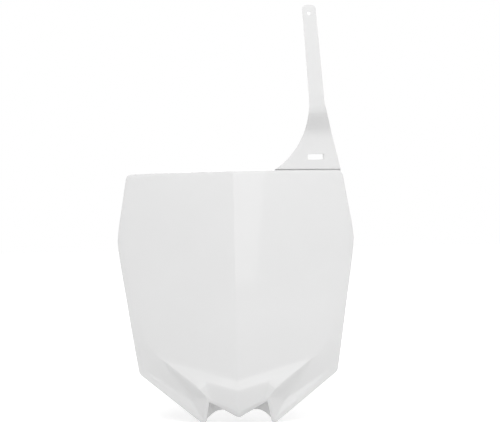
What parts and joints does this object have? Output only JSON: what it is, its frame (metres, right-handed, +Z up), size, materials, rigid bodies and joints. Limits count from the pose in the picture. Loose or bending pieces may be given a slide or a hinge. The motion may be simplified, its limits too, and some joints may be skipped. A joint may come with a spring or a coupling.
{
  "type": "racing number board",
  "caption": "One-piece front number board with a keeled face, a beaked and pronged lower edge, a rear bracket and a tall strap on one side.",
  "frame": {"origin": "centre of the lower fixing hole, midway through its wall", "axes": "+X to the right seen from the front, +Y to the rear along the fixing hole, +Z up towards the strap's end"},
  "size_m": [0.254, 0.0375, 0.4434],
  "materials": {
    "board": "white polypropylene, semi-gloss, as moulded"
  },
  "bodies": {
    "root": {"number_board": "board"}
  },
  "joints": []
}
